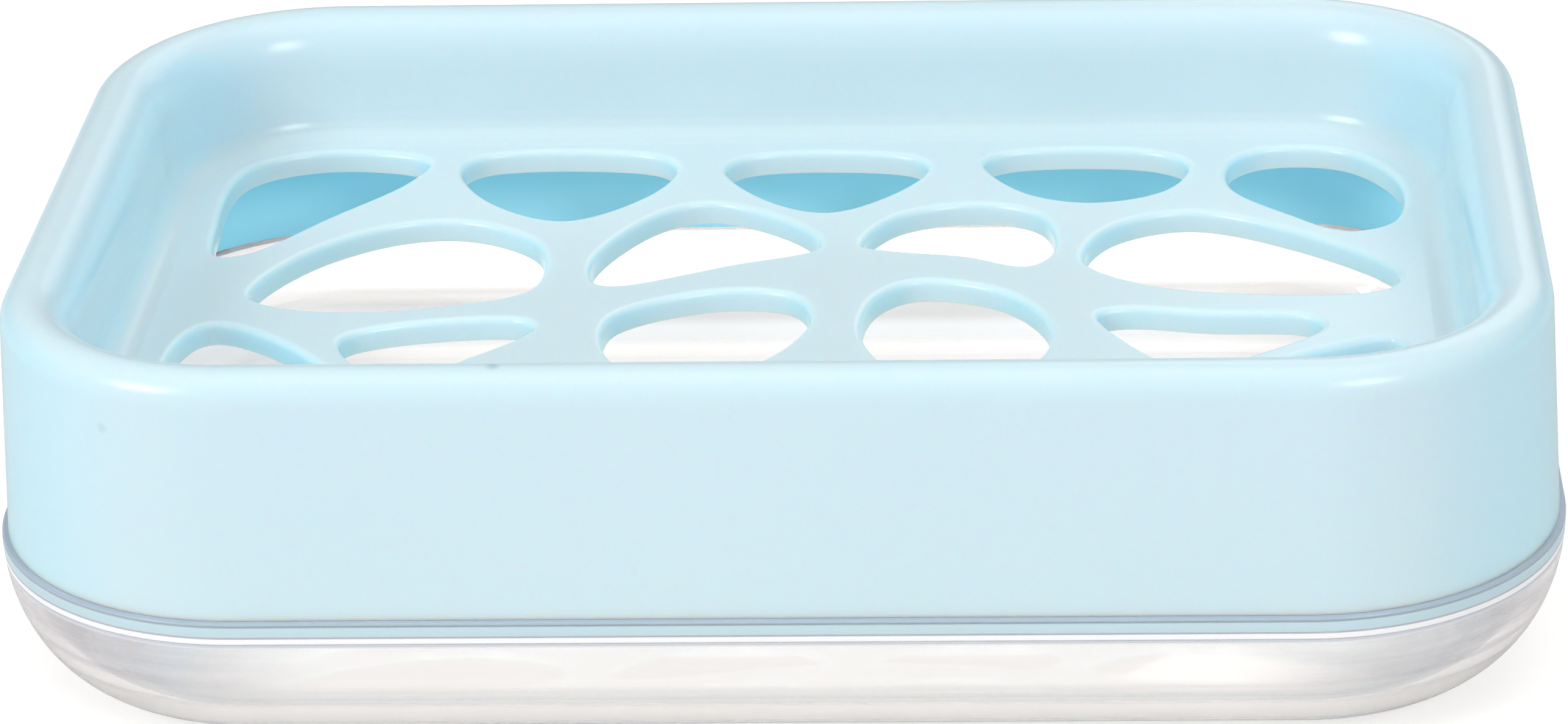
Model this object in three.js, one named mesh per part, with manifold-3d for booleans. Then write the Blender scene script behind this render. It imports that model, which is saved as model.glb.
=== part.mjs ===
// Two-piece soap dish: a drain tray that lifts straight up out of a clear drip tray.
// Millimetres, +Z up, +X along the dish. The origin is on the table under the middle of the dish.

import * as THREE from 'three';
import { mergeVertices } from 'three/addons/utils/BufferGeometryUtils.js';
import Module from 'manifold-3d';

// Overall sizes
const LENGTH = 126; // over the drip tray's lip, along X
const WIDTH = 86; // over the lip, along Y
const HEIGHT = 33; // from the table to the top of the rim
const CORNER = 21.3; // radius of the lip's outer corners, seen from above

// Drip tray
const LIP_TOP = 12.9; // height of the lip's top edge
const LIP_WALL = 0.95; // thickness of the lip
const LIP_BAND = 0.6; // upright band between the lip's top and the curled side
const LIP_EDGE = 0.2; // rounding of the lip's two top edges
const SIDE_REACH = 9.6; // how far the outside of the side curls in under the lip
const LEDGE = 1.9; // width of the ledge that carries the skirt
const INNER_CURL = 8; // how far the inside of the side curls in below the ledge
const DRIP_FLOOR = 1.6; // thickness of the flat bottom

// Seat between the trays
const SEAT_DEPTH = 2; // how far the skirt's foot sits below the lip's top
const SEAT_GAP = 0.3; // clearance from the skirt to the lip and to the ledge
const LIP_PROUD = 0.5; // how far the lip stands out from the skirt's face

// Soap tray
const WALL = 2; // thickness of the skirt and of the basin wall
const SKIRT_DRAFT = 0.9; // how far the skirt leans in between the lip and the rim
const RIM_SHOULDER = 2.3; // rounding of the rim's outer edge
const ROLL_RUN = 3.5; // how far the rim rolls in to the basin wall
const ROLL_DROP = 4.5; // how far it falls on the way
const BASIN_DEPTH = 11; // from the rim down to the floor
const BASIN_DRAFT = 0.1; // how far the basin wall leans in towards the floor
const BASIN_FILLET = 2.6; // rounding between the basin wall and the floor
const FLOOR = 2; // thickness of the floor
const HOLE_EDGE = 0.6; // rounding of the drain holes' top edges
const CUT_OVERRUN = 0.3; // how far a hole's cutter runs past the floor

// Facets
const CORNER_STEPS = 9; // per corner, seen from above
const CURVE_STEPS = 6; // per large curve of a section
const EDGE_STEPS = 2; // per small rounding of a section
const HOLE_STEPS = 24; // round a drain hole

// Drain holes: closed curves through points given in percent of the floor's half length and half
// width. The rows run from the back of the dish to the front.
const DRAIN_HOLES = [
  [[-91, 44], [-89, 80], [-77, 90], [-61, 84], [-63, 71], [-74, 48], [-85, 26], [-89, 25]],
  [[-51, 87], [-25, 86], [-21, 78], [-25, 60], [-37, 45], [-49, 57], [-55, 79]],
  [[-9, 85], [16, 84], [19, 77], [14, 61], [4, 49], [-5, 56], [-13, 77]],
  [[32, 86], [54, 86], [60, 78], [56, 61], [45, 54], [35, 60], [28, 80]],
  [[67, 79], [73, 87], [85, 85], [93, 65], [91, 40], [84, 35], [76, 45], [67, 62]],

  [[-82, 1], [-75, 27], [-62, 43], [-51, 44], [-40, 30], [-40, 3], [-52, -6], [-65, -9], [-77, -6]],
  [[-30, 7], [-31, 21], [-22, 49], [-14, 55], [0, 40], [3, 27], [-10, 17], [-27, 5]],
  [[10, 28], [15, 46], [28, 53], [37, 46], [39, 24], [35, 15], [26, 21], [14, 25]],
  [[44, 17], [48, 38], [60, 47], [76, 35], [91, 10], [89, 0], [74, -3], [54, 3]],

  [[-66, -25], [-59, -18], [-40, -15], [-38, -20], [-48, -38], [-55, -49], [-63, -39]],
  [[-27, -30], [-26, -12], [-11, 1], [0, -2], [3, -16], [-3, -38], [-14, -52], [-23, -43]],
  [[11, -24], [13, -2], [19, 6], [32, -1], [39, -24], [34, -47], [24, -55], [16, -44]],
  [[46, -14], [50, -11], [63, -14], [77, -16], [79, -22], [67, -39], [60, -46], [53, -36]],

  [[-91, -36], [-88, -18], [-85, -16], [-76, -25], [-64, -51], [-61, -81], [-71, -90], [-86, -82]],
  [[-55, -77], [-46, -56], [-36, -45], [-28, -58], [-20, -78], [-24, -87], [-53, -87]],
  [[-12, -78], [-5, -61], [5, -51], [13, -61], [20, -78], [17, -87], [-9, -87]],
  [[28, -79], [35, -63], [45, -50], [54, -61], [55, -78], [53, -87], [32, -87]],
  [[86, -82], [72, -90], [63, -83], [65, -61], [72, -42], [81, -33], [89, -29], [91, -37]],
];

const wasm = await Module();
wasm.setup();

// Sections. A point's x is its inset from the outline that the section is swept round, and its
// y is its height. A section runs from the middle of the underside to the middle of the top.

/** Points of a quarter or half ellipse round a centre, between two angles in degrees. */
function arc(x, y, run, rise, from, to, steps) {
  const turn = THREE.MathUtils.degToRad;
  const curve = new THREE.EllipseCurve(x, y, run, rise, turn(from), turn(to), to < from);
  return curve.getPoints(steps);
}

/** Section of the drip tray, inset from the lip's outer face, heights from the table. */
function dripSection() {
  const sideRise = LIP_TOP - LIP_BAND;
  const ledgeTop = LIP_TOP - SEAT_DEPTH - SEAT_GAP;
  const ledgeInside = LIP_WALL + LEDGE;
  const edgeHeight = LIP_TOP - LIP_EDGE;
  return [
    ...arc(SIDE_REACH, sideRise, SIDE_REACH, sideRise, 270, 180, CURVE_STEPS),
    ...arc(LIP_EDGE, edgeHeight, LIP_EDGE, LIP_EDGE, 180, 90, EDGE_STEPS),
    ...arc(LIP_WALL - LIP_EDGE, edgeHeight, LIP_EDGE, LIP_EDGE, 90, 0, EDGE_STEPS),
    new THREE.Vector2(LIP_WALL, ledgeTop),
    ...arc(ledgeInside + INNER_CURL, ledgeTop, INNER_CURL, ledgeTop - DRIP_FLOOR, 180, 270, CURVE_STEPS),
  ];
}

/** Sizes of the soap tray that several of its features share, with heights from the skirt's foot. */
function soapTraySizes() {
  const seat = LIP_TOP - SEAT_DEPTH;
  const crest = SKIRT_DRAFT + RIM_SHOULDER;
  const rim = HEIGHT - seat;
  return {
    seat,
    rim,
    crest,
    basinTop: crest + ROLL_RUN,
    basinFoot: crest + ROLL_RUN + BASIN_DRAFT,
    floorTop: rim - BASIN_DEPTH,
    halfLength: LENGTH / 2 - LIP_PROUD,
    halfWidth: WIDTH / 2 - LIP_PROUD,
    corner: CORNER - LIP_PROUD,
  };
}

/** Section of the soap tray: floor, hollow rim and skirt, inset from the skirt's outer face. */
function soapSection({ rim, crest, basinTop, basinFoot, floorTop }) {
  const rebate = LIP_WALL + SEAT_GAP - LIP_PROUD;
  const shoulder = SEAT_DEPTH + SEAT_GAP;
  const floorUnder = floorTop - FLOOR;
  const basinBack = basinFoot - WALL;
  const skirtInside = SKIRT_DRAFT + WALL;
  const slotRadius = (basinTop - WALL - skirtInside) / 2;
  const slotMiddle = skirtInside + slotRadius;
  const slotRoof = rim - WALL - slotRadius;
  const fillet = (x, y, from, to) => arc(x, y, BASIN_FILLET, BASIN_FILLET, from, to, CURVE_STEPS);
  return [
    ...fillet(basinBack + BASIN_FILLET, floorUnder + BASIN_FILLET, 270, 180),
    ...arc(slotMiddle, slotRoof, slotRadius, slotRadius, 0, 180, 2 * EDGE_STEPS),
    new THREE.Vector2(WALL, 0),
    new THREE.Vector2(rebate, 0),
    new THREE.Vector2(rebate, shoulder),
    new THREE.Vector2(0, shoulder),
    ...arc(crest, rim - RIM_SHOULDER, RIM_SHOULDER, RIM_SHOULDER, 180, 90, CURVE_STEPS),
    ...arc(crest, rim - ROLL_DROP, ROLL_RUN, ROLL_DROP, 90, 0, CURVE_STEPS).slice(1),
    ...fillet(basinFoot + BASIN_FILLET, floorTop + BASIN_FILLET, 180, 270),
  ];
}

// Solids

/** Ring of points round a rectangle with round corners, at one height. */
function roundedRing(halfLength, halfWidth, radius, height) {
  const ring = [];
  for (const [index, [sideX, sideY]] of [[1, 1], [-1, 1], [-1, -1], [1, -1]].entries()) {
    const x = sideX * (halfLength - radius);
    const y = sideY * (halfWidth - radius);
    const corner = arc(x, y, radius, radius, 90 * index, 90 * (index + 1), CORNER_STEPS);
    ring.push(...corner.map((point) => new THREE.Vector3(point.x, point.y, height)));
  }
  return ring;
}

/** Rings of a section swept round the outline with the given half sizes and corner radius. */
function sweep(section, halfLength, halfWidth, corner) {
  return section.map(({ x: inset, y: height }) =>
    roundedRing(halfLength - inset, halfWidth - inset, corner - inset, height));
}

/** Closed skin over a stack of rings, each running anticlockwise, with a cap on both end rings. */
function loft(rings) {
  const count = rings[0].length;
  const index = [];
  for (let level = 0; level + 1 < rings.length; level += 1) {
    for (let step = 0; step < count; step += 1) {
      const next = (step + 1) % count;
      const [a, b] = [level * count + step, level * count + next];
      const [c, d] = [a + count, b + count];
      index.push(a, b, d, a, d, c);
    }
  }
  const last = (rings.length - 1) * count;
  for (const [a, b, c] of THREE.ShapeUtils.triangulateShape(rings[0], [])) {
    index.push(a, c, b);
  }
  for (const [a, b, c] of THREE.ShapeUtils.triangulateShape(rings.at(-1), [])) {
    index.push(last + a, last + b, last + c);
  }
  const geometry = new THREE.BufferGeometry().setFromPoints(rings.flat());
  geometry.setIndex(index);
  return geometry;
}

/** Solid for cutting and joining, from a closed geometry. */
function toSolid(geometry) {
  const merged = mergeVertices(geometry);
  const vertProperties = Float32Array.from(merged.attributes.position.array);
  const triVerts = Uint32Array.from(merged.index.array);
  return new wasm.Manifold(new wasm.Mesh({ numProp: 3, vertProperties, triVerts }));
}

/** Geometry of a cut or joined solid. */
function toGeometry(solid) {
  const { vertProperties, triVerts } = solid.getMesh();
  const geometry = new THREE.BufferGeometry();
  geometry.setAttribute('position', new THREE.BufferAttribute(vertProperties, 3));
  geometry.setIndex(new THREE.BufferAttribute(triVerts, 1));
  return geometry;
}

/** Cutter of one drain hole, flared at the floor's top so that the hole's edge is rounded. */
function drainCutter(points, { floorTop, basinFoot, halfLength, halfWidth }) {
  const percentX = (halfLength - basinFoot) / 100;
  const percentY = (halfWidth - basinFoot) / 100;
  const nodes = points.map(([x, y]) => new THREE.Vector3(x * percentX, y * percentY, 0));
  if (THREE.ShapeUtils.isClockWise(nodes)) {
    nodes.reverse();
  }
  const curve = new THREE.CatmullRomCurve3(nodes, true, 'centripetal');
  const spots = curve.getSpacedPoints(HOLE_STEPS).slice(0, HOLE_STEPS);
  const outward = spots.map((_, step) => {
    const along = curve.getTangentAt(step / HOLE_STEPS);
    return new THREE.Vector3(along.y, -along.x, 0);
  });
  const half = HOLE_EDGE * Math.SQRT1_2;
  const flare = half / (HOLE_EDGE - half);
  const levels = [
    [0, floorTop - FLOOR - CUT_OVERRUN],
    [0, floorTop - HOLE_EDGE],
    [HOLE_EDGE - half, floorTop - HOLE_EDGE + half],
    [HOLE_EDGE + CUT_OVERRUN * flare, floorTop + CUT_OVERRUN],
  ];
  return loft(levels.map(([offset, height]) =>
    spots.map((spot, step) => spot.clone().addScaledVector(outward[step], offset).setZ(height))));
}

// Pieces

/** The clear lower tray, whose lip holds the soap tray's skirt. */
function dripTray() {
  const geometry = loft(sweep(dripSection(), LENGTH / 2, WIDTH / 2, CORNER));
  const clearPlastic = new THREE.MeshStandardMaterial({
    color: 0xf6f5f4,
    roughness: 0.08,
    metalness: 0,
    transparent: true,
    opacity: 0.3,
  });
  const mesh = new THREE.Mesh(geometry, clearPlastic);
  mesh.name = 'drip_tray';
  return mesh;
}

/** The light blue upper tray, one moulding with a hollow rim and a pierced floor. */
function soapTray() {
  const sizes = soapTraySizes();
  const shell = loft(sweep(soapSection(sizes), sizes.halfLength, sizes.halfWidth, sizes.corner));
  let solid = toSolid(shell);
  for (const points of DRAIN_HOLES) {
    solid = solid.subtract(toSolid(drainCutter(points, sizes)));
  }
  const bluePlastic = new THREE.MeshStandardMaterial({ color: 0xcfeaf3, roughness: 0.22, metalness: 0 });
  const mesh = new THREE.Mesh(toGeometry(solid), bluePlastic);
  mesh.name = 'soap_tray';
  mesh.position.z = sizes.seat;
  return mesh;
}

const soapDish = new THREE.Group();
soapDish.add(dripTray(), soapTray());

export default soapDish;
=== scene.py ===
"""Two-piece soap dish: a light blue drain tray that sits in the lip of a clear drip tray.

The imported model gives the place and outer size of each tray. Both trays are modelled again here
with smooth walls, drawn in millimetres and shrunk to metres, and get their finishes. A small
studio and the photograph's point of view follow.
"""

import logging
import math
from dataclasses import dataclass
from enum import Enum
from itertools import pairwise

import bmesh
import bpy
from mathutils import Matrix, Vector


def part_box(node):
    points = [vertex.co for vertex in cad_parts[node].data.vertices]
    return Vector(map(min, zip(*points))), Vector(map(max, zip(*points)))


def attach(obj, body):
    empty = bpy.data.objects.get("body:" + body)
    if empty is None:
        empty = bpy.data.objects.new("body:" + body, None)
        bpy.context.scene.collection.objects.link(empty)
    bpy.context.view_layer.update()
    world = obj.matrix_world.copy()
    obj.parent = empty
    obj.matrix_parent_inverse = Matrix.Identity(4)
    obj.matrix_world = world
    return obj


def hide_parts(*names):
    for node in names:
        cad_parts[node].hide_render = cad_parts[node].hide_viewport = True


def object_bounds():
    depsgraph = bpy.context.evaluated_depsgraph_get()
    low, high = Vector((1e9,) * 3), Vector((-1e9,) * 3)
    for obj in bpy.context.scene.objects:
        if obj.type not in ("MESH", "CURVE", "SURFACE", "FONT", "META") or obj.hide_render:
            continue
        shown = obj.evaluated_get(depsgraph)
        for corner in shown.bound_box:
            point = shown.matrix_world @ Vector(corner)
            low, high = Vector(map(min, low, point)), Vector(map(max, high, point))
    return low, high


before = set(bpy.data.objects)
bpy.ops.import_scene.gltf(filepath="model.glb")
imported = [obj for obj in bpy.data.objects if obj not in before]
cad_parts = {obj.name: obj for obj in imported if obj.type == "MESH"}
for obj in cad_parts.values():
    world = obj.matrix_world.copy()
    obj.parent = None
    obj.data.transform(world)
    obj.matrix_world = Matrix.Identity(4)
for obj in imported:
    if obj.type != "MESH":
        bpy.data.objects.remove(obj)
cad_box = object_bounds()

LOG = logging.getLogger("soap_dish")

MM = 0.001
TINY = 1e-4  # millimetres: a shorter step is none
MEET = 1e-3  # millimetres: points or levels closer than this are one

SectionPoint = tuple[float, float]  # inset from the outline, height, both in millimetres


class Skin(Enum):
    """The two faces of a moulded wall, drawn apart and then joined along their shared outline."""

    OVER = "over"
    UNDER = "under"


# Drawing aids


def arc(
    centre: SectionPoint, radii: SectionPoint, turn: tuple[float, float], steps: int
) -> list[SectionPoint]:
    """Draws part of an ellipse.

    Args:
        centre: Middle of the ellipse.
        radii: Its half sizes across and up.
        turn: First and last angle in degrees, anticlockwise from the x axis.
        steps: Number of straight steps.

    Returns:
        The points, both ends included.
    """
    first, last = turn
    points = []
    for step in range(steps + 1):
        angle = math.radians(first + (last - first) * step / steps)
        points.append((centre[0] + radii[0] * math.cos(angle), centre[1] + radii[1] * math.sin(angle)))
    return points


def rounded_rectangle(half_length: float, half_width: float, corner: float, steps: int) -> list[Vector]:
    """Draws a rectangle with round corners, anticlockwise.

    Args:
        half_length: Half its size along X.
        half_width: Half its size along Y.
        corner: Radius of its corners.
        steps: Straight steps in each corner.

    Returns:
        Its points in the plane.
    """
    outline = []
    for quarter, (side_x, side_y) in enumerate(((1, 1), (-1, 1), (-1, -1), (1, -1))):
        middle = (side_x * (half_length - corner), side_y * (half_width - corner))
        turn = (90 * quarter, 90 * (quarter + 1))
        outline += [Vector(point) for point in arc(middle, (corner, corner), turn, steps)]
    return outline


def closed_curve(nodes: list[Vector], steps: int) -> list[Vector]:
    """Runs a smooth closed curve through points, as a centripetal spline.

    Args:
        nodes: Points that the curve passes through.
        steps: Straight steps between two points.

    Returns:
        Points along the curve.
    """
    curve = []
    count = len(nodes)
    for index in range(count):
        near = [nodes[(index + shift) % count] for shift in (-1, 0, 1, 2)]
        before, start, end, after = near
        lead, span, tail = (math.sqrt((b - a).length) for a, b in pairwise(near))
        chord = (end - start) / span
        leaving = ((start - before) / lead - (end - before) / (lead + span) + chord) * span
        arriving = (chord - (after - start) / (span + tail) + (after - end) / tail) * span
        for step in range(steps):
            t = step / steps
            curve.append(
                start * (2 * t**3 - 3 * t**2 + 1)
                + leaving * (t**3 - 2 * t**2 + t)
                + end * (3 * t**2 - 2 * t**3)
                + arriving * (t**3 - t**2)
            )
    return curve


def grown(outline: list[Vector], amount: float) -> list[Vector]:
    """Moves each point of an anticlockwise outline outwards.

    Args:
        outline: Points in the plane.
        amount: How far each point moves.

    Returns:
        The moved points.
    """
    moved = []
    for index, point in enumerate(outline):
        along = (outline[(index + 1) % len(outline)] - outline[index - 1]).normalized()
        moved.append(point + Vector((along.y, -along.x)) * amount)
    return moved


# Modelling steps


def add_plate(name: str, outline: list[Vector], height: float) -> bpy.types.Object:
    """Adds a filled circle, pulls its rim to an outline and leaves it in edit mode, selected.

    Args:
        name: Name of the new object.
        outline: The rim's points in the plane.
        height: Height of the plate.

    Returns:
        The new object.
    """
    bpy.ops.object.select_all(action="DESELECT")
    bpy.ops.mesh.primitive_circle_add(vertices=len(outline), fill_type="NGON")
    plate = bpy.context.object
    plate.name = name
    for vertex, point in zip(plate.data.vertices, outline):
        vertex.co = (point.x, point.y, height)
    bpy.ops.object.mode_set(mode="EDIT")
    bpy.ops.mesh.select_mode(type="FACE")
    bpy.ops.mesh.select_all(action="SELECT")
    return plate


def draw_along(section: list[SectionPoint]) -> None:
    """Draws the selected plate along a section, and takes its flat ends away.

    Args:
        section: Points that run inwards from the plate's own rim.
    """
    for (inset, height), (next_inset, next_height) in pairwise(section):
        step, rise = next_inset - inset, next_height - height
        if step > TINY:
            bpy.ops.mesh.inset(thickness=step, depth=rise, use_even_offset=True)
        elif abs(rise) > TINY:
            bpy.ops.mesh.extrude_region_move(TRANSFORM_OT_translate={"value": (0, 0, rise)})
    bpy.ops.mesh.select_face_by_sides(number=4, type="GREATER", extend=False)
    bpy.ops.mesh.delete(type="ONLY_FACE")
    bpy.ops.object.mode_set(mode="OBJECT")


def join_pieces(name: str, pieces: list[bpy.types.Object]) -> bpy.types.Object:
    """Joins meshes into the first one and merges the rims that they share.

    Args:
        name: Name of the joined object.
        pieces: Objects to join.

    Returns:
        The joined object, in edit mode.
    """
    bpy.ops.object.select_all(action="DESELECT")
    for piece in pieces:
        piece.select_set(True)
    bpy.context.view_layer.objects.active = pieces[0]
    bpy.ops.object.join()
    joined = bpy.context.object
    joined.name = joined.data.name = name
    bpy.ops.object.mode_set(mode="EDIT")
    bpy.ops.mesh.select_all(action="SELECT")
    bpy.ops.mesh.remove_doubles(threshold=MEET)
    return joined


def fill_level(piece: bpy.types.Object, height: float) -> None:
    """Fills the flat face between all the open rims at one height.

    Args:
        piece: Object in edit mode.
        height: Height of the rims.
    """
    bpy.ops.mesh.select_mode(type="EDGE")
    bpy.ops.mesh.select_all(action="DESELECT")
    mesh = bmesh.from_edit_mesh(piece.data)
    for edge in mesh.edges:
        level = all(abs(vertex.co.z - height) < MEET for vertex in edge.verts)
        edge.select_set(edge.is_boundary and level)
    bmesh.update_edit_mesh(piece.data)
    bpy.ops.mesh.fill(use_beauty=True)


def finish_piece(piece: bpy.types.Object, smooth_below: float) -> None:
    """Turns the faces out, shrinks the drawing to metres and shades it.

    Args:
        piece: Object in edit mode, drawn in millimetres.
        smooth_below: Edges with a smaller angle, in degrees, look smooth.
    """
    bpy.ops.mesh.select_all(action="SELECT")
    bpy.ops.mesh.normals_make_consistent(inside=False)
    bpy.ops.transform.resize(value=(MM, MM, MM), center_override=(0, 0, 0))
    bpy.ops.object.mode_set(mode="OBJECT")
    bpy.ops.object.shade_smooth_by_angle(angle=math.radians(smooth_below))


# Finishes


def linear(colour: str) -> tuple[float, float, float, float]:
    """Turns an sRGB hex colour into linear light.

    Args:
        colour: Six hex digits after a hash.

    Returns:
        Red, green, blue and an alpha of 1.
    """
    shares = (int(colour[place : place + 2], 16) / 255 for place in (1, 3, 5))
    light = (s / 12.92 if s <= 0.04045 else ((s + 0.055) / 1.055) ** 2.4 for s in shares)
    return (*light, 1.0)


def add_node(
    tree: bpy.types.NodeTree, kind: str, settings: dict | None = None, links: dict | None = None
) -> bpy.types.Node:
    """Adds a shader node.

    Args:
        tree: Node tree that gets the node.
        kind: The node's type name.
        settings: Values by the name or number of an input socket, or by the name of a property.
        links: Output sockets by the name or number of the input that they feed.

    Returns:
        The new node.
    """
    node = tree.nodes.new(kind)
    for name, value in (settings or {}).items():
        if isinstance(name, int) or name in node.inputs:
            node.inputs[name].default_value = value
        else:
            setattr(node, name, value)
    for name, socket in (links or {}).items():
        tree.links.new(socket, node.inputs[name])
    return node


def new_material(name: str) -> tuple[bpy.types.Material, bpy.types.NodeTree]:
    """Makes an empty node material.

    Args:
        name: Name of the material.

    Returns:
        The material and its node tree.
    """
    material = bpy.data.materials.new(name)
    material.use_nodes = True
    material.node_tree.nodes.clear()
    return material, material.node_tree


@dataclass(frozen=True)
class DingShade:
    """Painted shade of a small ding in the skin, drawn as a darker spot."""

    place_mm: tuple[float, float, float]
    radius_mm: float
    share: float

    def mask(self, tree: bpy.types.NodeTree, place: bpy.types.NodeSocket) -> bpy.types.NodeSocket:
        """Finds the fleck.

        Args:
            tree: Node tree to build in.
            place: Socket with Object coordinates.

        Returns:
            Socket that is the fleck's share at its middle and fades to 0 at its edge.
        """
        settings = {"operation": "DISTANCE", 1: [value * MM for value in self.place_mm]}
        away = add_node(tree, "ShaderNodeVectorMath", settings, {0: place}).outputs["Value"]
        settings = {
            "interpolation_type": "SMOOTHSTEP",
            "From Min": 0.0,
            "From Max": self.radius_mm * MM,
            "To Min": self.share,
            "To Max": 0.0,
        }
        return add_node(tree, "ShaderNodeMapRange", settings, {"Value": away}).outputs["Result"]


@dataclass(frozen=True)
class BluePolypropylene:
    """Opaque light blue polypropylene, injection moulded in a polished tool.

    The eye sees a soft gloss with blurred highlights, a skin that is not quite flat, and light
    that seeps a little way through the walls. The deeper blue of the hollow rim and of the end walls is
    painted light and shade, with a painted glow in the hollow, and small dings are spots of painted
    shade.
    """

    colour: str = "#D6E9EE"
    shade_colour: str = "#D0E6EC"
    # painted shade: a deeper blue on walls that face along the length
    end_painted_shade_colour: str = "#C8ECF6"
    end_facing: tuple[float, float] = (0.3, 0.95)  # cosines where the end tint starts and is full
    # painted shade: darker spots where the skin has small dings
    ding_shade_colour: str = "#B2CCD8"
    ding_shades: tuple[DingShade, ...] = (
        DingShade((-20.6, -39.3, 33.0), 0.85, 0.9),
        DingShade((-51.0, -39.4, 28.1), 0.65, 0.45),
    )
    # painted light: turquoise colour and glow in the hollow rim, for light bouncing inside it
    painted_bounce_colour: str = "#B4E2EE"
    painted_glow_colour: str = "#2FC8E6"
    painted_glow: tuple[float, float] = (0.192, 0.288)
    core_from_mm: tuple[float, float] = (13.2, 16.5)  # heights where the glow starts and is full
    inward_mm: tuple[float, float] = (20.0, 30.0)  # distances from the middle, for walls that look in
    ior: float = 1.49
    roughness: tuple[float, float] = (0.2, 0.28)
    core_roughness: float = 0.48
    cloud_mm: float = 28.0
    ripple_mm: float = 5.0
    ripple_depth_mm: float = 0.02
    ripple_strength: float = 0.25
    grain_mm: float = 0.5  # finer on the real skin, drawn as coarse as it needs to show
    grain_depth_mm: float = 0.002
    grain_strength: float = 0.2
    seep_mm: tuple[float, float, float] = (0.5, 1.0, 1.3)

    def core_side(self) -> bpy.types.Material:
        """Builds the plastic of the tray's inside, which the tool's core leaves matt.

        Light bounces to and fro in the hollow rim and comes through its thin walls; this is painted
        on: the inside gets a deeper, turquoise painted colour and a painted glow above the foot.

        Returns:
            The finished material.
        """
        material, tree = new_material("matt_core_side_painted_glow_polypropylene")
        place = add_node(tree, "ShaderNodeTexCoord").outputs["Object"]
        cloud = self.clouds(tree, place)
        inside = self.hollow(tree, place)
        settings = dict(zip(("To Min", "To Max"), self.painted_glow))
        glow = add_node(tree, "ShaderNodeMapRange", settings, {"Value": cloud})
        links = {0: glow.outputs["Result"], 1: inside}
        glow = add_node(tree, "ShaderNodeMath", {"operation": "MULTIPLY"}, links)
        blend = {"data_type": "RGBA", 6: linear(self.colour), 7: linear(self.painted_bounce_colour)}
        colour = add_node(tree, "ShaderNodeMix", blend, {0: inside}).outputs[2]
        plastic = add_node(
            tree,
            "ShaderNodeBsdfPrincipled",
            {
                "IOR": self.ior,
                "Roughness": self.core_roughness,
                "Emission Color": linear(self.painted_glow_colour),
            },
            {"Base Color": colour, "Emission Strength": glow.outputs["Value"]},
        )
        add_node(tree, "ShaderNodeOutputMaterial", links={"Surface": plastic.outputs["BSDF"]})
        return material

    def clouds(self, tree: bpy.types.NodeTree, place: bpy.types.NodeSocket) -> bpy.types.NodeSocket:
        """Spreads the slow unevenness of the melt over the piece.

        Args:
            tree: Node tree to build in.
            place: Socket with Object coordinates.

        Returns:
            Socket that drifts between 0 and 1.
        """
        settings = {"Scale": 1 / (self.cloud_mm * MM), "Detail": 2.0}
        return add_node(tree, "ShaderNodeTexNoise", settings, {"Vector": place}).outputs["Fac"]

    def hollow(self, tree: bpy.types.NodeTree, place: bpy.types.NodeSocket) -> bpy.types.NodeSocket:
        """Finds the faces in the hollow rim, and leaves out the foot that stands behind the lip.

        Args:
            tree: Node tree to build in.
            place: Socket with Object coordinates.

        Returns:
            Socket that is 1 in the hollow and 0 round the outside of the foot.
        """
        height = add_node(tree, "ShaderNodeSeparateXYZ", links={"Vector": place}).outputs["Z"]
        low, high = self.core_from_mm
        settings = {"From Min": low * MM, "From Max": high * MM}
        above = add_node(tree, "ShaderNodeMapRange", settings, {"Value": height}).outputs["Result"]
        facing = add_node(tree, "ShaderNodeTexCoord").outputs["Normal"]
        links = {0: place, 1: facing}
        outward = add_node(tree, "ShaderNodeVectorMath", {"operation": "DOT_PRODUCT"}, links)
        low, high = self.inward_mm
        settings = {"From Min": -low * MM, "From Max": -high * MM}
        links = {"Value": outward.outputs["Value"]}
        inward = add_node(tree, "ShaderNodeMapRange", settings, links).outputs["Result"]
        links = {0: above, 1: inward}
        return add_node(tree, "ShaderNodeMath", {"operation": "MAXIMUM"}, links).outputs["Value"]

    def end_walls(self, tree: bpy.types.NodeTree) -> bpy.types.NodeSocket:
        """Finds the walls at the two ends, which get a deeper blue of painted shade.

        Args:
            tree: Node tree to build in.

        Returns:
            Socket that is 1 where a face looks along the length and 0 elsewhere.
        """
        facing = add_node(tree, "ShaderNodeTexCoord").outputs["Normal"]
        folded = add_node(tree, "ShaderNodeVectorMath", {"operation": "ABSOLUTE"}, {0: facing})
        links = {"Vector": folded.outputs["Vector"]}
        along = add_node(tree, "ShaderNodeSeparateXYZ", links=links).outputs["X"]
        first, full = self.end_facing
        settings = {"interpolation_type": "SMOOTHSTEP", "From Min": first, "From Max": full}
        return add_node(tree, "ShaderNodeMapRange", settings, {"Value": along}).outputs["Result"]

    def material(self) -> bpy.types.Material:
        """Builds the material of the faces that show.

        Returns:
            The finished material.
        """
        material, tree = new_material("moulded_blue_polypropylene")
        place = add_node(tree, "ShaderNodeTexCoord").outputs["Object"]
        cloud = self.clouds(tree, place)
        blend = {"data_type": "RGBA", 6: linear(self.colour), 7: linear(self.shade_colour)}
        colour = add_node(tree, "ShaderNodeMix", blend, {0: cloud}).outputs[2]
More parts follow.
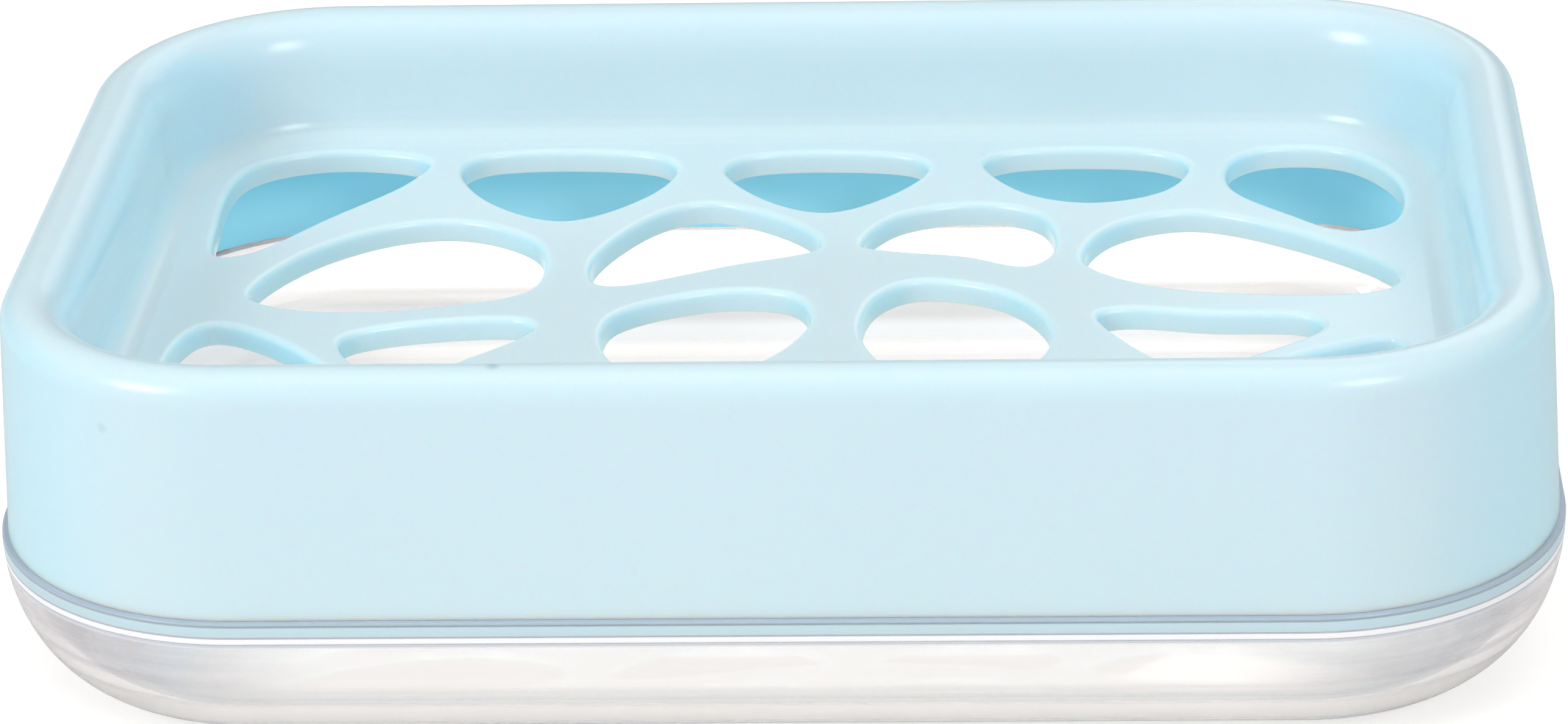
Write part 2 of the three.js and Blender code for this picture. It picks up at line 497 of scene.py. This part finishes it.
        # painted shade: deeper blue on the end walls and darker spots for small dings
        painted_shades = [(self.end_walls(tree), self.end_painted_shade_colour)]
        painted_shades += [(ding.mask(tree, place), self.ding_shade_colour) for ding in self.ding_shades]
        for mask, shade in painted_shades:
            blend = {"data_type": "RGBA", 7: linear(shade)}
            colour = add_node(tree, "ShaderNodeMix", blend, {0: mask, 6: colour}).outputs[2]
        settings = dict(zip(("To Min", "To Max"), self.roughness))
        gloss = add_node(tree, "ShaderNodeMapRange", settings, {"Value": cloud})
        ripple, grain = (
            add_node(
                tree,
                "ShaderNodeTexNoise",
                {"Scale": 1 / (size * MM), "Detail": 1.0},
                {"Vector": place},
            ).outputs["Fac"]
            for size in (self.ripple_mm, self.grain_mm)
        )
        wavy = add_node(
            tree,
            "ShaderNodeBump",
            {"Strength": self.ripple_strength, "Distance": self.ripple_depth_mm * MM},
            {"Height": ripple},
        )
        skin = add_node(
            tree,
            "ShaderNodeBump",
            {"Strength": self.grain_strength, "Distance": self.grain_depth_mm * MM},
            {"Height": grain, "Normal": wavy.outputs["Normal"]},
        )
        plastic = add_node(
            tree,
            "ShaderNodeBsdfPrincipled",
            {
                "IOR": self.ior,
                "Subsurface Weight": 1.0,
                "Subsurface Radius": self.seep_mm,
                "Subsurface Scale": MM,
            },
            {
                "Base Color": colour,
                "Roughness": gloss.outputs["Result"],
                "Normal": skin.outputs["Normal"],
            },
        )
        add_node(tree, "ShaderNodeOutputMaterial", links={"Surface": plastic.outputs["BSDF"]})
        return material


@dataclass(frozen=True)
class PaintedBand:
    """A soft-edged band round a clear piece, whose surface scatters part of the light in a painted
    colour of light and shade.
    """

    low_mm: float
    high_mm: float
    share: float
    colour: str
    softness: float = 0.3

    def mask(self, tree: bpy.types.NodeTree, height: bpy.types.NodeSocket) -> bpy.types.NodeSocket:
        """Marks the band.

        Args:
            tree: Node tree to build in.
            height: Height in metres.

        Returns:
            Socket that is 1 in the band and fades to 0 beside it.
        """
        middle = (self.low_mm + self.high_mm) / 2 * MM
        half = (self.high_mm - self.low_mm) / 2 * MM
        apart = add_node(tree, "ShaderNodeMath", {"operation": "SUBTRACT", 1: middle}, {0: height})
        links = {0: apart.outputs["Value"]}
        distance = add_node(tree, "ShaderNodeMath", {"operation": "ABSOLUTE"}, links)
        ramp = add_node(
            tree,
            "ShaderNodeMapRange",
            {
                "interpolation_type": "SMOOTHSTEP",
                "From Min": (1 - self.softness) * half,
                "From Max": (1 + self.softness) * half,
                "To Min": 1.0,
                "To Max": 0.0,
            },
            {"Value": distance.outputs["Value"]},
        )
        return ramp.outputs["Result"]


@dataclass(frozen=True)
class ClearPolystyrene:
    """Clear polystyrene, injection moulded in a polished tool.

    The eye sees through it, with a faint waviness left by the flow of the plastic. The lip's top
    edge is frosted and painted bluish grey, a pale lilac line of painted shade and a white painted
    highlight show at the seat, the skirt shows through the lip in painted pale blue, grey bands of
    painted shade lie low on the wall, and the corners carry grey streaks of painted shade.
    """

    colour: str = "#FBF9F8"
    haze_and_shade_colour: str = "#C9C3C9"
    ior: float = 1.59
    roughness: float = 0.03
    haze: float = 0.02
    # painted shade: grey streaks at the corners, drawn as scattered light
    painted_corner_shade: float = 0.45
    flow_mm: float = 14.0
    flow_depth_mm: float = 0.05
    flow_strength: float = 0.15
    corner_streak_mm: tuple[float, float, float] = (16.0, 16.0, 0.9)
    streak_contrast: tuple[float, float] = (0.3, 0.7)
    least_corner_shade: float = 0.4
    corner_mm: tuple[tuple[float, float], tuple[float, float]] = ((34.0, 58.0), (12.0, 36.0))
    painted_bands: tuple[PaintedBand, ...] = (
        # painted shade: grey band low on the wall, for the shadow under the tray seen through it
        PaintedBand(1.9, 4.8, 0.32, "#E4E0DD"),
        # painted shade: a darker grey line for the dim surroundings seen through the curled side
        PaintedBand(5.2, 6.4, 0.12, "#BDB9B6"),
        # painted shade: a pale lilac line at the seat, just above the ledge
        PaintedBand(10.7, 11.05, 0.7, "#E4E8F0"),
        # painted highlight: a white line above the ledge
        PaintedBand(11.1, 11.6, 0.95, "#FCFCFE"),
        # painted light: the blue skirt seen through the lip, painted pale blue
        PaintedBand(11.7, 12.6, 0.7, "#DAF3FB"),
        # the lip's top edge: frosted, with a bluish grey painted for the skirt and shade seen through
        # it
        PaintedBand(12.7, 13.1, 0.6, "#C3D4E3"),
    )

    def corners(self, tree: bpy.types.NodeTree, place: bpy.types.NodeSocket) -> bpy.types.NodeSocket:
        """Marks the tray's corners.

        Args:
            tree: Node tree to build in.
            place: Object coordinates.

        Returns:
            Socket that is 0 along the sides and 1 at the corners.
        """
        folded = add_node(tree, "ShaderNodeVectorMath", {"operation": "ABSOLUTE"}, {0: place})
        split = add_node(tree, "ShaderNodeSeparateXYZ", links={"Vector": folded.outputs["Vector"]})
        shares = []
        for axis, (near, far) in zip("XY", self.corner_mm):
            settings = {"From Min": near * MM, "From Max": far * MM, "interpolation_type": "SMOOTHSTEP"}
            ramp = add_node(tree, "ShaderNodeMapRange", settings, {"Value": split.outputs[axis]})
            shares.append(ramp.outputs["Result"])
        both = add_node(tree, "ShaderNodeMath", {"operation": "MULTIPLY"}, dict(enumerate(shares)))
        return both.outputs["Value"]

    def haze_and_painted_corner_shade(self, tree: bpy.types.NodeTree, place: bpy.types.NodeSocket) -> bpy.types.NodeSocket:
        """Spreads the haze of the bare wall, a trace everywhere, and grey streaks of painted shade at
        the corners.

        Args:
            tree: Node tree to build in.
            place: Object coordinates.

        Returns:
            Socket with the share of light that the surface scatters.
        """
        stretch = tuple(1 / (size * MM) for size in self.corner_streak_mm)
        settings = {"operation": "MULTIPLY", 1: stretch}
        stretched = add_node(tree, "ShaderNodeVectorMath", settings, {0: place})
        streaks = add_node(
            tree,
            "ShaderNodeTexNoise",
            {"Scale": 1.0, "Detail": 3.0},
            {"Vector": stretched.outputs["Vector"]},
        )
        low, high = self.streak_contrast
        streak_level = add_node(
            tree,
            "ShaderNodeMapRange",
            {"From Min": low, "From Max": high, "To Min": self.least_corner_shade, "To Max": 1.0},
            {"Value": streaks.outputs["Fac"]},
        )
        links = {0: streak_level.outputs["Result"], 1: self.corners(tree, place)}
        corner_shade_share = add_node(tree, "ShaderNodeMath", {"operation": "MULTIPLY"}, links)
        share = add_node(
            tree,
            "ShaderNodeMapRange",
            {"To Min": self.haze, "To Max": self.painted_corner_shade},
            {"Value": corner_shade_share.outputs["Value"]},
        )
        return share.outputs["Result"]

    def material(self) -> bpy.types.Material:
        """Builds the material.

        Returns:
            The finished material.
        """
        material, tree = new_material("moulded_clear_polystyrene")
        place = add_node(tree, "ShaderNodeTexCoord").outputs["Object"]
        flow = add_node(
            tree,
            "ShaderNodeTexNoise",
            {"Scale": 1 / (self.flow_mm * MM), "Detail": 1.0},
            {"Vector": place},
        )
        wavy = add_node(
            tree,
            "ShaderNodeBump",
            {"Strength": self.flow_strength, "Distance": self.flow_depth_mm * MM},
            {"Height": flow.outputs["Fac"]},
        )
        clear = add_node(
            tree,
            "ShaderNodeBsdfPrincipled",
            {
                "Base Color": linear(self.colour),
                "IOR": self.ior,
                "Roughness": self.roughness,
                "Transmission Weight": 1.0,
            },
            {"Normal": wavy.outputs["Normal"]},
        )
        share = self.haze_and_painted_corner_shade(tree, place)
        height = add_node(tree, "ShaderNodeSeparateXYZ", links={"Vector": place}).outputs["Z"]
        ground = {}
        for band in self.painted_bands:
            mask = band.mask(tree, height)
            links = {"Factor": mask, "A": share}
            share = add_node(tree, "ShaderNodeMix", {"B": band.share}, links).outputs["Result"]
            blend = {"data_type": "RGBA", 6: linear(self.haze_and_shade_colour), 7: linear(band.colour)}
            ground = {6: add_node(tree, "ShaderNodeMix", blend, {0: mask, **ground}).outputs[2]}
        haze_and_painted_light = add_node(tree, "ShaderNodeBsdfDiffuse", links={"Color": ground[6]})
        links = {0: share, 1: clear.outputs["BSDF"], 2: haze_and_painted_light.outputs["BSDF"]}
        plastic = add_node(tree, "ShaderNodeMixShader", links=links)
        add_node(tree, "ShaderNodeOutputMaterial", links={"Surface": plastic.outputs["Shader"]})
        return material


# Sub-assemblies

CORNER_STEPS = 28  # per corner, seen from above
CURVE_STEPS = 14  # per large curve of a section
EDGE_STEPS = 5  # per small rounding of a section
HOLE_STEPS = 9  # between two points of a drain hole's outline

LIP_WALL = 0.95  # thickness of the drip tray's lip
SEAT_DEPTH = 2.0  # how far the skirt's foot sits below the lip's top
SEAT_GAP = 0.02  # clearance from the skirt to the lip, as it looks when seated
FOOT_GAP = 0.3  # clearance from the skirt's foot to the ledge
LIP_PROUD = 0.5  # how far the lip stands out from the skirt's face
LIP_CORNER = 21.3  # radius of the lip's outer corners, seen from above
SHOW_STRIP = 0.12  # flat strip beside a rounding, which keeps the flat face's shading level
SMOOTH_BELOW = 35  # degrees: sharper edges stay crisp


@dataclass
class SoapTray:
    """The upper tray: skirt, hollow rim and basin with a pierced floor, in one moulding."""

    half_length: float
    half_width: float
    foot: float
    rim: float
    wall: float = 2.0
    skirt_draft: float = 0.9
    rim_shoulder: float = 2.3
    roll_run: float = 3.5
    roll_drop: float = 4.5
    basin_depth: float = 11.0
    basin_draft: float = 0.1
    basin_fillet: float = 2.6
    floor_thickness: float = 2.0
    hole_edge: float = 0.6
    name: str = "soap_tray_moulding"

    # Closed outlines in percent of the floor's half length and half width, clockwise,
    # in rows from the back of the dish to the front.
    DRAIN_HOLES = (
        ((-91, 44), (-89, 80), (-77, 90), (-61, 84), (-63, 71), (-74, 48), (-85, 26), (-89, 25)),
        ((-51, 87), (-25, 86), (-21, 78), (-25, 60), (-37, 45), (-49, 57), (-55, 79)),
        ((-9, 85), (16, 84), (19, 77), (14, 61), (4, 49), (-5, 56), (-13, 77)),
        ((32, 86), (54, 86), (60, 78), (56, 61), (45, 54), (35, 60), (28, 80)),
        ((67, 79), (73, 87), (85, 85), (93, 65), (91, 40), (84, 35), (76, 45), (67, 62)),
        (
            (-82, 1), (-75, 27), (-62, 43), (-51, 44), (-40, 30),
            (-40, 3), (-52, -6), (-65, -9), (-77, -6),
        ),
        ((-30, 7), (-31, 21), (-22, 49), (-14, 55), (0, 40), (3, 27), (-10, 17), (-27, 5)),
        ((10, 28), (15, 46), (28, 53), (37, 46), (39, 24), (35, 15), (26, 21), (14, 25)),
        ((44, 17), (48, 38), (60, 47), (76, 35), (91, 10), (89, 0), (74, -3), (54, 3)),
        ((-66, -25), (-59, -18), (-40, -15), (-38, -20), (-48, -38), (-55, -49), (-63, -39)),
        ((-27, -30), (-26, -12), (-11, 1), (0, -2), (3, -16), (-3, -38), (-14, -52), (-23, -43)),
        ((11, -24), (13, -2), (19, 6), (32, -1), (39, -24), (34, -47), (24, -55), (16, -44)),
        ((46, -14), (50, -11), (63, -14), (77, -16), (79, -22), (67, -39), (60, -46), (53, -36)),
        (
            (-91, -36), (-88, -18), (-85, -16), (-76, -25),
            (-64, -51), (-61, -81), (-71, -90), (-86, -82),
        ),
        ((-55, -77), (-46, -56), (-36, -45), (-28, -58), (-20, -78), (-24, -87), (-53, -87)),
        ((-12, -78), (-5, -61), (5, -51), (13, -61), (20, -78), (17, -87), (-9, -87)),
        ((28, -79), (35, -63), (45, -50), (54, -61), (55, -78), (53, -87), (32, -87)),
        ((86, -82), (72, -90), (63, -83), (65, -61), (72, -42), (81, -33), (89, -29), (91, -37)),
    )

    @property
    def crest(self) -> float:
        """Inset of the rim's highest line."""
        return self.skirt_draft + self.rim_shoulder

    @property
    def basin_foot(self) -> float:
        """Inset of the basin wall where it meets the floor."""
        return self.crest + self.roll_run + self.basin_draft

    @property
    def floor_top(self) -> float:
        """Height of the floor."""
        return self.rim - self.basin_depth

    @property
    def floor_under(self) -> float:
        """Height of the floor's underside."""
        return self.floor_top - self.floor_thickness

    @property
    def shoulder(self) -> float:
        """Height of the step in the skirt that stands over the drip tray's lip."""
        return self.foot + SEAT_DEPTH + SEAT_GAP

    def section(self, skin: Skin) -> list[SectionPoint]:
        """Draws half of the wall's section.

        Args:
            skin: Which face of the wall.

        Returns:
            Points from the skirt's outer face to the floor.
        """
        fillet = (self.basin_fillet, self.basin_fillet)
        if skin is Skin.OVER:
            low = (self.basin_foot + self.basin_fillet, self.floor_top + self.basin_fillet)
            shoulder = (self.rim_shoulder, self.rim_shoulder)
            roll = (self.roll_run, self.roll_drop)
            return [
                (0.0, self.shoulder),
                *arc((self.crest, self.rim - self.rim_shoulder), shoulder, (180, 90), CURVE_STEPS),
                *arc((self.crest, self.rim - self.roll_drop), roll, (90, 0), CURVE_STEPS)[1:],
                *arc(low, fillet, (180, 270), EDGE_STEPS),
                (low[0] + SHOW_STRIP, self.floor_top),
            ]
        rebate = LIP_WALL + SEAT_GAP - LIP_PROUD
        skirt_inside = self.skirt_draft + self.wall
        slot = (self.crest + self.roll_run - self.wall - skirt_inside) / 2
        crown = (skirt_inside + slot, self.rim - self.wall - slot)
        low = (self.basin_foot - self.wall + self.basin_fillet, self.floor_under + self.basin_fillet)
        return [
            (0.0, self.shoulder),
            (rebate, self.shoulder),
            (rebate, self.foot),
            (self.wall, self.foot),
            *arc(crown, (slot, slot), (180, 0), 2 * EDGE_STEPS),
            *arc(low, fillet, (180, 270), EDGE_STEPS),
            (low[0] + SHOW_STRIP, self.floor_under),
        ]

    def build_skin(self, skin: Skin) -> bpy.types.Object:
        """Models one face of the moulding, from the skirt to the floor's rim.

        Args:
            skin: Which face of the wall.

        Returns:
            The open skin.
        """
        corner = LIP_CORNER - LIP_PROUD
        outline = rounded_rectangle(self.half_length, self.half_width, corner, CORNER_STEPS)
        section = self.section(skin)
        piece = add_plate(f"soap_tray_{skin.value}", outline, section[0][1])
        draw_along(section)
        return piece

    def build_hole(self, nodes: tuple[tuple[int, int], ...]) -> bpy.types.Object:
        """Models the wall of one drain hole, with its rounded top edge.

        Args:
            nodes: Points of the outline in percent of the floor.

        Returns:
            The open tube.
        """
        percent_x = (self.half_length - self.basin_foot) / 100
        percent_y = (self.half_width - self.basin_foot) / 100
        points = [Vector((x * percent_x, y * percent_y)) for x, y in reversed(nodes)]
        edge = self.hole_edge
        outline = grown(closed_curve(points, HOLE_STEPS), edge + SHOW_STRIP)
        section = [
            (0.0, self.floor_top),
            *arc((SHOW_STRIP, self.floor_top - edge), (edge, edge), (90, 0), EDGE_STEPS),
            (SHOW_STRIP + edge, self.floor_under),
        ]
        piece = add_plate("drain_hole", outline, self.floor_top)
        draw_along(section)
        return piece

    def build(self) -> bpy.types.Object:
        """Models the whole tray, with a glossy outside and a matt inside.

        Returns:
            The finished piece.
        """
        finish = BluePolypropylene()
        show_side, core_side = finish.material(), finish.core_side()
        over, under = (self.build_skin(skin) for skin in Skin)
        holes = [self.build_hole(nodes) for nodes in self.DRAIN_HOLES]
        for surface in (over, *holes):
            surface.data.materials.append(show_side)
        under.data.materials.append(core_side)
        piece = join_pieces(self.name, [over, under, *holes])
        for height in (self.floor_top, self.floor_under):
            fill_level(piece, height)
        finish_piece(piece, SMOOTH_BELOW)
        return piece

    def dress(self, piece: bpy.types.Object) -> None:
        """Ties the tray to its body.

        Args:
            piece: The modelled tray.
        """
        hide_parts("soap_tray")
        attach(piece, "soap_tray")


@dataclass
class DripTray:
    """The lower tray: thin lip, ledge for the skirt, sides that curl in to a flat bottom."""

    half_length: float
    half_width: float
    lip_top: float
    lip_band: float = 0.6
    lip_edge: float = 0.2
    side_reach: float = 9.6
    ledge: float = 1.9
    inner_curl: float = 8.0
    floor_thickness: float = 1.6
    name: str = "drip_tray_moulding"

    def section(self, skin: Skin) -> list[SectionPoint]:
        """Draws half of the wall's section.

        Args:
            skin: Which face of the wall: over is the inside, under the outside.

        Returns:
            Points from the lip's outer face to the flat bottom.
        """
        edge = (self.lip_edge, self.lip_edge)
        edge_height = self.lip_top - self.lip_edge
        rise = self.lip_top - self.lip_band
        if skin is Skin.OVER:
            ledge_top = self.lip_top - SEAT_DEPTH - FOOT_GAP
            middle = LIP_WALL + self.ledge + self.inner_curl
            curl = (self.inner_curl, ledge_top - self.floor_thickness)
            return [
                (0.0, rise),
                *arc((self.lip_edge, edge_height), edge, (180, 90), EDGE_STEPS),
                *arc((LIP_WALL - self.lip_edge, edge_height), edge, (90, 0), EDGE_STEPS),
                (LIP_WALL, ledge_top),
                *arc((middle, ledge_top), curl, (180, 270), 2 * CURVE_STEPS),
                (middle + SHOW_STRIP, self.floor_thickness),
            ]
        return [
            *arc((self.side_reach, rise), (self.side_reach, rise), (180, 270), 2 * CURVE_STEPS),
            (self.side_reach + SHOW_STRIP, 0.0),
        ]

    def build(self) -> bpy.types.Object:
        """Models the whole tray.

        Returns:
            The finished piece.
        """
        skins = []
        for skin in Skin:
            outline = rounded_rectangle(self.half_length, self.half_width, LIP_CORNER, CORNER_STEPS)
            section = self.section(skin)
            skins.append(add_plate(f"drip_tray_{skin.value}", outline, section[0][1]))
            draw_along(section)
        piece = join_pieces(self.name, skins)
        for height in (self.floor_thickness, 0.0):
            fill_level(piece, height)
        finish_piece(piece, SMOOTH_BELOW)
        return piece

    def dress(self, piece: bpy.types.Object) -> None:
        """Gives the tray its plastic and ties it to its body.

        Args:
            piece: The modelled tray.
        """
        piece.data.materials.append(ClearPolystyrene().material())
        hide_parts("drip_tray")
        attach(piece, "drip_tray")


# Studio


@dataclass(frozen=True)
class Softbox:
    """A square lamp behind a diffuser, aimed at the dish."""

    name: str
    place: tuple[float, float, float]
    size: float
    power: float

    def build(self, target: Vector) -> None:
        """Hangs the lamp.

        Args:
            target: Point that it is aimed at.
        """
        lamp = bpy.data.lights.new(self.name, "AREA")
        lamp.size = self.size
        lamp.energy = self.power
        stand = bpy.data.objects.new(self.name, lamp)
        stand.location = self.place
        stand.rotation_euler = (target - Vector(self.place)).to_track_quat("-Z", "Y").to_euler()
        bpy.context.scene.collection.objects.link(stand)


@dataclass(frozen=True)
class PhotoCamera:
    """The photograph's point of view, with turns in degrees."""

    picture_width: int = 2576
    focal_px: float = 8924.0
    axis_px: float = 1545.0
    place: tuple[float, float, float] = (0.02656, -0.41644, 0.20251)
    yaw: float = 1.966
    pitch: float = 24.18
    roll: float = 1.223
    sensor_mm: float = 36.0

    def build(self) -> None:
        """Adds the camera and makes it the scene's own."""
        data = bpy.data.cameras.new("photo_camera")
        data.sensor_width = self.sensor_mm
        data.lens = self.focal_px / self.picture_width * self.sensor_mm
        data.shift_x = 0.5 - self.axis_px / self.picture_width
        camera = bpy.data.objects.new("photo_camera", data)
        turn = (
            Matrix.Rotation(math.radians(self.yaw), 4, "Z")
            @ Matrix.Rotation(math.radians(90 - self.pitch), 4, "X")
            @ Matrix.Rotation(math.radians(-self.roll), 4, "Z")
        )
        camera.matrix_world = Matrix.Translation(self.place) @ turn
        bpy.context.scene.collection.objects.link(camera)
        bpy.context.scene.camera = camera


@dataclass(frozen=True)
class RayLevels:
    """Strengths of a light for the kinds of ray that meet it."""

    other: float
    camera: float
    glossy: float
    transmission: float

    def strength(
        self,
        tree: bpy.types.NodeTree,
        spread: bpy.types.NodeSocket | None = None,
    ) -> bpy.types.NodeSocket:
        """Picks the strength for each ray.

        Args:
            tree: Node tree to build in.
            spread: Socket with the share of the light at each place, for all but camera rays.

        Returns:
            Socket with the strength.
        """
        path = add_node(tree, "ShaderNodeLightPath")
        settings = {"A": self.other, "B": self.glossy}
        links = {"Factor": path.outputs["Is Glossy Ray"]}
        level = add_node(tree, "ShaderNodeMix", settings, links).outputs["Result"]
        # A ray through clear plastic counts as glossy too, so transmission comes after it.
        links = {"Factor": path.outputs["Is Transmission Ray"], "A": level}
        level = add_node(tree, "ShaderNodeMix", {"B": self.transmission}, links).outputs["Result"]
        if spread is not None:
            settings = {"operation": "MULTIPLY"}
            level = add_node(tree, "ShaderNodeMath", settings, {0: level, 1: spread}).outputs["Value"]
        links = {"Factor": path.outputs["Is Camera Ray"], "A": level}
        return add_node(tree, "ShaderNodeMix", {"B": self.camera}, links).outputs["Result"]


@dataclass
class Studio:
    """White table and backdrop, with two softboxes in front, one above and a weak one behind."""

    floor_size: float = 4.0
    floor_drop: float = 0.2 * MM
    floor_colour: str = "#C8C8C8"
    glow_colour: str = "#FFFBF7"
    glow: RayLevels = RayLevels(0.2, camera=0.62, glossy=0.1, transmission=1.05)
    lit_radius: tuple[float, float] = (0.18, 0.45)
    sky_colour: str = "#FFFFFF"
    sky: RayLevels = RayLevels(0.54, camera=1.0, glossy=0.15, transmission=0.45)
    light_bounces: int = 24
    softboxes: tuple[Softbox, ...] = (
        Softbox("left_softbox", (-0.62, -0.56, 0.5), 0.3, 3.2),
        Softbox("right_softbox", (0.44, -0.74, 0.55), 0.3, 2.2),
        Softbox("top_softbox", (0.0, -0.1, 1.05), 0.9, 2.65),
        Softbox("back_softbox", (0.3, 0.75, 0.55), 0.6, 1.1),
    )

    def build_floor(self) -> None:
        """Lays a table top that is white to the eye and through clear plastic, and keeps shadows."""
        bpy.ops.object.select_all(action="DESELECT")
        bpy.ops.mesh.primitive_plane_add(size=self.floor_size)
        floor = bpy.context.object
        floor.name = "studio_table"
        bpy.ops.object.mode_set(mode="EDIT")
        bpy.ops.transform.translate(value=(0, 0, -self.floor_drop))
        bpy.ops.object.mode_set(mode="OBJECT")
        material, tree = new_material("white_table")
        paint = add_node(tree, "ShaderNodeBsdfDiffuse", {"Color": linear(self.floor_colour)})
        settings = {"Color": linear(self.glow_colour)}
        links = {"Strength": self.glow_strength(tree)}
        lift = add_node(tree, "ShaderNodeEmission", settings, links)
        links = {0: paint.outputs["BSDF"], 1: lift.outputs["Emission"]}
        both = add_node(tree, "ShaderNodeAddShader", links=links)
        add_node(tree, "ShaderNodeOutputMaterial", links={"Surface": both.outputs["Shader"]})
        material.cycles.emission_sampling = "NONE"
        floor.data.materials.append(material)

    def glow_strength(self, tree: bpy.types.NodeTree) -> bpy.types.NodeSocket:
        """Keeps the table's glow near the dish, except for what the camera sees directly.

        Args:
            tree: Node tree to build in.

        Returns:
            Socket with the strength.
        """
        place = add_node(tree, "ShaderNodeTexCoord").outputs["Object"]
        reach = add_node(tree, "ShaderNodeVectorMath", {"operation": "LENGTH"}, {0: place})
        near, far = self.lit_radius
        settings = {"From Min": near, "From Max": far, "To Min": 1.0, "To Max": 0.0}
        fade = add_node(tree, "ShaderNodeMapRange", settings, {"Value": reach.outputs["Value"]})
        return self.glow.strength(tree, fade.outputs["Result"])

    def build_world(self) -> None:
        """Surrounds the dish with an even backdrop, white to the eye and dim in reflections."""
        world = bpy.data.worlds.new("plain_studio")
        bpy.context.scene.world = world
        world.use_nodes = True
        tree = world.node_tree
        tree.nodes.clear()
        settings = {"Color": linear(self.sky_colour)}
        links = {"Strength": self.sky.strength(tree)}
        sky = add_node(tree, "ShaderNodeBackground", settings, links)
        add_node(tree, "ShaderNodeOutputWorld", links={"Surface": sky.outputs["Background"]})

    def build(self, target: Vector) -> None:
        """Sets up table, surroundings, lamps and colour view.

        Args:
            target: Point that the lamps are aimed at.
        """
        self.build_floor()
        self.build_world()
        for softbox in self.softboxes:
            softbox.build(target)
        scene = bpy.context.scene
        scene.view_settings.view_transform = "Standard"
        scene.cycles.max_bounces = self.light_bounces
        scene.cycles.diffuse_bounces = self.light_bounces
        scene.cycles.glossy_bounces = self.light_bounces
        scene.cycles.transmission_bounces = self.light_bounces


def main() -> None:
    logging.basicConfig(level=logging.INFO, format="%(name)s: %(message)s")
    _, drip_high = (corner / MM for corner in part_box("drip_tray"))
    soap_low, soap_high = (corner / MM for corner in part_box("soap_tray"))
    trays = (
        DripTray(drip_high.x, drip_high.y, lip_top=drip_high.z),
        SoapTray(soap_high.x, soap_high.y, foot=soap_low.z, rim=soap_high.z),
    )
    for tray in trays:
        piece = tray.build()
        tray.dress(piece)
        LOG.info("%s: %d faces", piece.name, len(piece.data.polygons))
    Studio().build(target=(cad_box[0] + cad_box[1]) / 2)
    PhotoCamera().build()


if __name__ == "__main__":
    main()
